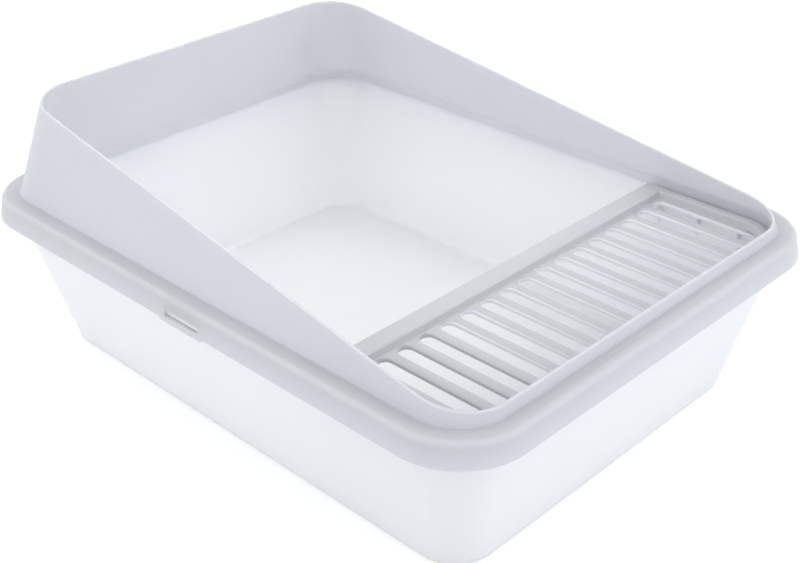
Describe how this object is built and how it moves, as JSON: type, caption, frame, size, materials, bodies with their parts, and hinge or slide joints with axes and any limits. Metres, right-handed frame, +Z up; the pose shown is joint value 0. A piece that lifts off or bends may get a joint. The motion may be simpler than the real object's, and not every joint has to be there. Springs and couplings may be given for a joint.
{
  "type": "cat litter tray",
  "caption": "Open cat litter tray with a lift-off sloping splash guard and a slotted step grate inside the low entry end.",
  "frame": {"origin": "middle of the tray's flat underside, the floor it stands on", "axes": "+Z up; +Y along the length towards the tall back, so the low entry end with the grate is at -Y; +X across the width, to the right seen from the entry end"},
  "size_m": [0.4, 0.52, 0.2071],
  "materials": {
    "tray_plastic": "gloss",
    "guard_plastic": "satin",
    "grate_plastic": "satin"
  },
  "bodies": {
    "tray": {"tray": "tray_plastic"},
    "guard": {"guard": "guard_plastic"},
    "grate": {"grate": "grate_plastic"}
  },
  "joints": [
    {"name": "guard_lift", "type": "slide", "parent": "tray", "child": "guard", "axis": [0, 0, 1], "range_m": [0, 0.16]},
    {"name": "grate_lift", "type": "slide", "parent": "tray", "child": "grate", "axis": [0, 0, 1], "range_m": [0, 0.08]}
  ],
  "couplings": [
    {"joint": "grate_lift", "follows": "guard_lift", "ratio": 0.5}
  ]
}
